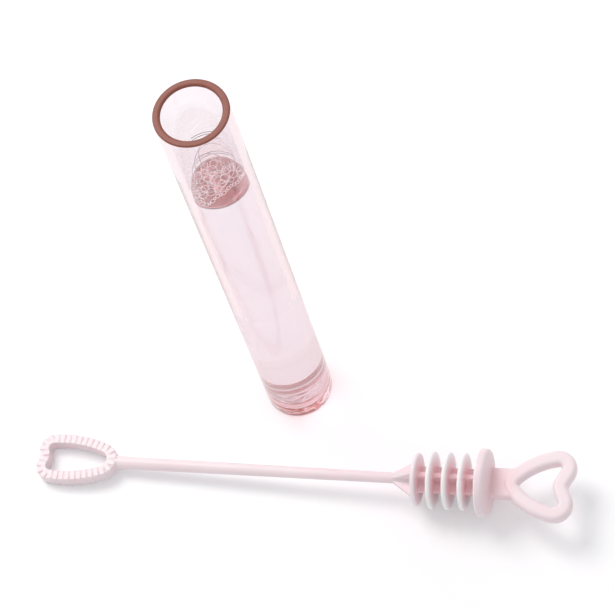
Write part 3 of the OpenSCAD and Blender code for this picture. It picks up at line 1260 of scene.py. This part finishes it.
@dataclass
class BubbleWand:
    """The wand: loop, stem, plug, cap, neck and handle, modelled along X with the cap's flat face at 0."""

    # From the cap's flat face to the far end of the loop
    reach: float = 101.5 * MM
    # Where the cap's flat face lies, from the tube's axis: along X, and towards the front
    cap_ahead: float = 45 * MM
    away: float = 23 * MM

    loop_length: float = 18.5 * MM
    loop_width: float = 10.9 * MM
    ring_width: float = 2.2 * MM
    ring_height: float = 3.2 * MM
    ring_edge_share: float = 0.12
    ring_step: float = 0.35 * MM
    rib_height: float = 0.36 * MM
    rib_over: float = 0.05 * MM
    rib_root: float = 0.3 * MM
    rib_fill: float = 0.84
    rib_edge_share: float = 0.45
    ribs_half: int = 16

    stem_radius: float = 1.2 * MM
    stem_loop_radius: float = 1.45 * MM
    stem_into_loop_share: float = 0.3
    stem_steps: int = 48

    fins: int = 4
    fin_pitch: float = 3.5 * MM
    fin_first: float = 3.4 * MM
    fin_radius: float = 6.3 * MM
    lead_fin_radius: float = 5.85 * MM
    fin_rim: float = 0.9 * MM
    fin_root: float = 1.2 * MM
    fin_edge_share: float = 0.45
    core_width: float = 6 * MM
    web: float = 1.2 * MM
    web_edge_share: float = 0.2
    gusset_width: float = 9 * MM
    gusset_length: float = 5 * MM

    cap_radius: float = 7.5 * MM
    cap_rim: float = 1.9 * MM
    cap_dome: float = 0.8 * MM
    cap_dome_share: float = 0.9
    cap_dome_rings: int = 8
    cap_round: float = 0.3 * MM
    cap_back_round: float = 0.7 * MM
    round_steps: int = 96
    neck_width: float = 6.9 * MM
    neck_thickness: float = 2.4 * MM
    neck_length: float = 5.3 * MM
    neck_edge_share: float = 0.25

    handle_length: float = 15.5 * MM
    handle_width: float = 16.4 * MM
    handle_step: float = 0.5 * MM
    limb: float = 3.2 * MM
    limb_height: float = 2.9 * MM
    limb_round: float = 0.9 * MM

    # Size of the faces of the fused skins, and how often these are evened out
    skin: float = 0.12 * MM
    plug_skin: float = 0.13 * MM
    evening: int = 4
    # For the shade, which is partly painted shade: how far out the core counts as thick, as a share of its
    # width, and how much the wide ends of the gussets and the cap's middle, with the neck behind it, count
    thick_and_shaded_core_share: float = 0.55
    gusset_thickness_and_shade: float = 0.3
    cap_thickness_and_shade: float = 1.3
    finish: SatinPolyethylene = SatinPolyethylene()
    lie: Matrix = field(default_factory=Matrix)

    def __post_init__(self) -> None:
        """Works out how the wand lies: on its cap's front edge and the far end of its loop."""
        low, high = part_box("tube")
        drop = self.cap_radius - self.cap_round - self.ring_height / 2
        span = self.reach + self.cap_round
        tilt = atan(drop / span) + asin(self.cap_round / hypot(drop, span))
        axis_height = (self.cap_radius - self.cap_round) * cos(tilt) + self.cap_round * (1 - sin(tilt))
        across = (low.y + high.y) / 2 - self.away
        place = Vector(((low.x + high.x) / 2 + self.cap_ahead, across, axis_height))
        self.lie = Matrix.Translation(place) @ Matrix.Rotation(-tilt, 4, "Y")

    @property
    def loop_heart(self) -> Heart:
        """Centreline of the loop."""
        return Heart(
            length=self.loop_length - self.ring_width,
            width=self.loop_width - self.ring_width,
            tip_radius=2.9 * MM,
            lobe_radius=2.2 * MM,
            bow_radius=27 * MM,
            notch_radius=3.1 * MM,
        )

    @property
    def handle_heart(self) -> Heart:
        """Centreline of the handle."""
        return Heart(
            length=self.handle_length - self.limb,
            width=self.handle_width - self.limb,
            tip_radius=2.1 * MM,
            lobe_radius=2.4 * MM,
            bow_radius=16.5 * MM,
            notch_radius=2.4 * MM,
            flank_slant=radians(26),
        )

    @property
    def loop_start(self) -> float:
        """Place of the centreline's tip at the stem."""
        return -self.reach + self.loop_length - self.ring_width / 2

    @property
    def gusset_start(self) -> float:
        """Place of the leading fin's front face, where the gussets are widest."""
        return -self.fin_first - (self.fins - 1) * self.fin_pitch - self.fin_root / 2

    def loop_parts(self) -> list[BMesh]:
        """Makes the loop's ring, and ribs on both faces of it.

        Returns:
            The ring and the ribs.
        """
        heart = self.loop_heart
        base = self.ring_height - 2 * self.rib_height
        rounding = self.ring_edge_share * self.ring_width
        section = rounded_section(self.ring_width, base, rounding, segments=3)
        parts = [heart.swept(section, self.ring_step)]
        pitch = sum(arc.length for arc in heart.arcs()) / self.ribs_half
        depth = self.rib_height + self.rib_root
        size = Vector((self.ring_width + 2 * self.rib_over, self.rib_fill * pitch, depth))
        for place, angle in heart.stations(self.ribs_half):
            for side in (-1, 1):
                at = Matrix.Translation((place.x, side * place.y, 0)) @ Matrix.Rotation(side * angle, 4, "Z")
                for face in (-1, 1):
                    middle = Vector((0, 0, face * (self.ring_height - depth) / 2))
                    rib = rounded_bar(size, middle, self.rib_edge_share * self.rib_height)
                    bmesh.ops.transform(rib, matrix=at, verts=rib.verts[:])
                    parts.append(rib)
        to_wand = Matrix.Translation((self.loop_start, 0, 0)) @ Matrix.Rotation(pi, 4, "Z")
        for part in parts:
            bmesh.ops.transform(part, matrix=to_wand, verts=part.verts[:])
        return parts

    def stem_part(self) -> BMesh:
        """Makes the stem, a little thicker at the loop, which it runs into.

        Returns:
            The stem's mesh.
        """
        start = self.loop_start - self.stem_into_loop_share * self.ring_width
        end = self.gusset_start
        outline = [
            Corner(0, start),
            Corner(self.stem_loop_radius, start),
            Corner(self.stem_radius, end),
            Corner(0, end),
        ]
        return turned(outline, self.stem_steps, along_x=True)

    def plug_parts(self) -> list[BMesh]:
        """Makes the cross-shaped core, its pointed gussets and the fins.

        Returns:
            Two bars and two gussets, crossed, and the fins.
        """
        start = self.gusset_start
        core = -start + self.cap_round
        parts = []
        for angle in (0, pi / 2):
            bar = rounded_bar(
                Vector((core, self.core_width, self.web)),
                Vector((start + core / 2, 0, 0)),
                self.web_edge_share * self.web,
            )
            # The gusset goes a quarter of its thickness into the fin behind it
            wedge = rounded_bar(
                Vector((self.gusset_length, self.gusset_width, self.web)),
                Vector((start - self.gusset_length / 2 + self.web / 4, 0, 0)),
                0.0,
            )
            front = [vert for vert in wedge.verts if vert.co.x < start - self.gusset_length / 2]
            bmesh.ops.scale(wedge, vec=(1, 2 * self.stem_radius / self.gusset_width, 1), verts=front)
            for part in (bar, wedge):
                turn(part, angle, "X")
                parts.append(part)
        root = self.core_width / 4
        edge = self.fin_edge_share * self.fin_rim
        for i in range(self.fins):
            middle = -self.fin_first - i * self.fin_pitch
            radius = self.lead_fin_radius if i == self.fins - 1 else self.fin_radius
            outline = [
                Corner(0, middle - self.fin_root / 2),
                Corner(root, middle - self.fin_root / 2),
                Corner(radius, middle - self.fin_rim / 2, edge, 4),
                Corner(radius, middle + self.fin_rim / 2, edge, 4),
                Corner(root, middle + self.fin_root / 2),
                Corner(0, middle + self.fin_root / 2),
            ]
            parts.append(turned(outline, self.round_steps, along_x=True))
        return parts

    def cap_part(self) -> BMesh:
        """Makes the cap, with its domed back.

        Returns:
            The cap's mesh.
        """
        length = self.cap_rim + self.cap_dome
        dome = (self.cap_radius ** 2 + self.cap_dome ** 2) / (2 * self.cap_dome)
        inner = self.cap_dome_share * self.cap_radius
        rings = self.cap_dome_rings
        back = [inner * (1 - i / rings) for i in range(rings + 1)]
        outline = [
            Corner(0, 0),
            Corner(self.cap_radius, 0, self.cap_round, 4),
            Corner(self.cap_radius, self.cap_rim, self.cap_back_round, 6),
            *[Corner(radius, length - dome + sqrt(dome ** 2 - radius ** 2)) for radius in back],
        ]
        return turned(outline, self.round_steps, along_x=True)

    def neck_part(self) -> BMesh:
        """Makes the flat neck between the cap and the handle.

        Returns:
            The neck's mesh.
        """
        start = self.cap_rim / 2
        end = self.neck_length + self.limb
        return rounded_bar(
            Vector((end - start, self.neck_width, self.neck_thickness)),
            Vector(((start + end) / 2, 0, 0)),
            self.neck_edge_share * self.neck_thickness,
        )

    def handle_part(self) -> BMesh:
        """Makes the heart-shaped handle.

        Returns:
            The handle's mesh.
        """
        section = rounded_section(self.limb, self.limb_height, self.limb_round, segments=5)
        ring = self.handle_heart.swept(section, self.handle_step)
        shift(ring, (self.neck_length + self.limb / 2, 0, 0))
        return ring

    def thickness(self, along: float, out: float) -> float:
        """Says how thick the moulding is round a point on it, and how much painted shade or light it takes,
        for its shade.

        Args:
            along: the point's place along the wand's own axis.
            out: its distance from that axis.

        Returns:
            1 or more at the plug's core and the cap's middle, where it is thick and painted shade falls, 0
            along the stem and the loop, and less than 0 at the thin rims of the fins and the cap's front
            edge, where painted light falls.
        """
        if along < self.gusset_start - self.gusset_length:
            return 0.0
        if along < 0:
            # Painted shade at the core between the fins, and painted light at the fins' rims
            core = self.thick_and_shaded_core_share * self.core_width
            share = kept_share((out - core) / (self.lead_fin_radius - core))
            inwards = kept_share((along - self.gusset_start) / self.fin_pitch + self.gusset_thickness_and_shade)
            return (1 - 2 * share) * inwards
        # Painted light on the cap's front edge
        if along < self.cap_round and out > self.cap_radius - 2 * self.cap_round:
            return -1.0
        # Painted shade on the cap's middle and the neck behind it, where the cap shades them
        back = sqrt(max(0.0, 1 - along / (self.neck_length + self.limb)))
        return self.cap_thickness_and_shade * back * max(0.0, 1 - out / self.cap_radius)

    def mark_thickness_and_shade(self, mesh: bpy.types.Mesh) -> None:
        """Marks each vertex of a mesh, which lies along the wand's own axis, with its thickness and its
        painted shade or light.

        Args:
            mesh: a piece's mesh.
        """
        layer = mesh.attributes.new(THICK_AND_SHADE, "FLOAT", "POINT")
        for vert, mark in zip(mesh.vertices, layer.data):
            mark.value = self.thickness(vert.co.x, hypot(vert.co.y, vert.co.z))

    def build_piece(
        self, name: str, parts: list[BMesh], plastic: Material, voxel: float, *nodes: str
    ) -> None:
        """Fuses parts of the wand into one piece, lays it down and settles it on its body.

        Args:
            name: the piece's name.
            parts: its solids, along the wand's own axis.
            plastic: its material.
            voxel: size of its faces.
            nodes: the nodes that it stands for.
        """
        piece = made_object(name, gathered(parts), [plastic])
        fused(piece, voxel, self.evening)
        self.mark_thickness_and_shade(piece.data)
        piece.data.transform(self.lie)
        settle(piece, Body.WAND, Slot.WAND, *nodes)

    def build(self) -> None:
        """Builds and dresses the three pieces of the wand."""
        plastic = self.finish.material()
        loop_and_stem = [*self.loop_parts(), self.stem_part()]
        self.build_piece("heart_loop_and_stem", loop_and_stem, plastic, self.skin, "bubble_loop", "stem")
        self.build_piece(
            "finned_plug", self.plug_parts(), plastic, self.plug_skin, "plug_core", "sealing_fins"
        )
        cap_and_handle = [self.cap_part(), self.neck_part(), self.handle_part()]
        self.build_piece(
            "cap_and_handle", cap_and_handle, plastic, self.skin, "cap", "neck", "heart_handle"
        )


# Studio


@dataclass
class Studio:
    """A white table under soft light, and the camera."""

    white: str = "ffffff"
    floor_shade: str = "f6f6f8"
    floor_half: float = 1.5
    floor_lift: float = 0.14
    sky_strength: float = 0.63
    # The softbox hangs high up on the left, behind the tube
    lamp_place: Vector = field(default_factory=lambda: Vector((-0.46, 0.36, 0.8)))
    lamp_aim: Vector = field(default_factory=lambda: Vector((0, 0, 0.02)))
    lamp_side: float = 0.5
    lamp_watts: float = 4.9
    lamp_shade: str = "fffefc"
    camera_place: Vector = field(default_factory=lambda: Vector((0.134934, -0.243266, 0.557487)))
    camera_azimuth: float = radians(27.145)
    camera_elevation: float = radians(60.981)
    camera_roll: float = radians(-20.368)
    near_clip: float = 0.01
    # Millimetres, as on a lens
    focal_length: float = 163.17
    sensor: float = 36.0
    # Light crosses many clear walls on its way up the tube, and is turned back at as many
    bounces: int = 96

    def seen_through(self, tree: NodeTree) -> NodeSocket:
        """Tells apart the rays that show the backdrop: straight, reflected or through the clear pieces.

        Args:
            tree: the node tree that uses the factor.

        Returns:
            A factor of 1 on those rays and 0 on others.
        """
        path = add_node(tree, "ShaderNodeLightPath")
        seen = path.outputs["Is Camera Ray"]
        for kind in ("Is Glossy Ray", "Is Transmission Ray"):
            either = add_node(tree, "ShaderNodeMath", {0: seen, 1: path.outputs[kind]}, operation="MAXIMUM")
            seen = either.outputs[0]
        return seen

    def light_sky(self) -> None:
        """Sets a white sky that lights the object softly."""
        world = bpy.data.worlds.new("white_sky")
        bpy.context.scene.world = world
        world.use_nodes = True
        tree = world.node_tree
        tree.nodes.clear()
        seen = self.seen_through(tree)
        strength = add_node(
            tree, "ShaderNodeMapRange", {"Value": seen, "To Min": self.sky_strength, "To Max": 1.0}
        )
        sky = add_node(
            tree, "ShaderNodeBackground", {"Color": linear(self.white), "Strength": strength.outputs[0]}
        )
        add_node(tree, "ShaderNodeOutputWorld", {"Surface": sky.outputs[0]}, is_active_output=True)

    def lay_floor(self) -> None:
        """Lays the table, which keeps the shadows and shows white elsewhere."""
        material, tree = blank_material("white_table")
        matt = add_node(tree, "ShaderNodeBsdfDiffuse", {"Color": linear(self.floor_shade)})
        seen = self.seen_through(tree)
        lift = add_node(tree, "ShaderNodeMath", {0: seen, 1: self.floor_lift}, operation="MULTIPLY")
        glow = add_node(
            tree, "ShaderNodeEmission", {"Color": linear(self.white), "Strength": lift.outputs[0]}
        )
        both = add_node(tree, "ShaderNodeAddShader", {0: matt.outputs[0], 1: glow.outputs[0]})
        add_node(tree, "ShaderNodeOutputMaterial", {"Surface": both.outputs[0]})
        bm = bmesh.new()
        bmesh.ops.create_grid(bm, x_segments=1, y_segments=1, size=self.floor_half)
        made_object("table", bm, [material])

    def hang_lamp(self) -> None:
        """Hangs the square softbox."""
        lamp = bpy.data.lights.new("key_softbox", "AREA")
        lamp.shape = "SQUARE"
        lamp.size = self.lamp_side
        lamp.energy = self.lamp_watts
        lamp.color = linear(self.lamp_shade)[:3]
        holder = in_scene("key_softbox", lamp)
        facing = (self.lamp_aim - self.lamp_place).to_track_quat("-Z", "Y")
        holder.matrix_world = Matrix.Translation(self.lamp_place) @ facing.to_matrix().to_4x4()
        # A clear piece would show the lamp itself as a hard-edged patch
        holder.visible_transmission = False

    def aim_camera(self) -> None:
        """Puts the camera where the photograph was taken from."""
        camera = bpy.data.cameras.new("camera")
        camera.sensor_fit = "HORIZONTAL"
        camera.sensor_width = self.sensor
        camera.lens = self.focal_length
        camera.clip_start = self.near_clip
        holder = in_scene("camera", camera)
        holder.matrix_world = (
            Matrix.Translation(self.camera_place)
            @ Matrix.Rotation(self.camera_azimuth, 4, "Z")
            @ Matrix.Rotation(pi / 2 - self.camera_elevation, 4, "X")
            @ Matrix.Rotation(self.camera_roll, 4, "Z")
        )
        bpy.context.scene.camera = holder

    def set_up(self) -> None:
        """Lights the scene, lays the table and aims the camera."""
        scene = bpy.context.scene
        scene.view_settings.view_transform = "Standard"
        for kind in ("max_bounces", "transmission_bounces", "glossy_bounces", "transparent_max_bounces"):
            setattr(scene.cycles, kind, self.bounces)
        self.light_sky()
        self.lay_floor()
        self.hang_lamp()
        self.aim_camera()


def main() -> None:
    """Builds the studio, the tube and the wand, in that order."""
    logging.basicConfig(level=logging.INFO, format="%(name)s: %(message)s")
    Studio().set_up()
    SolutionTube().build()
    BubbleWand().build()


if __name__ == "__main__":
    main()
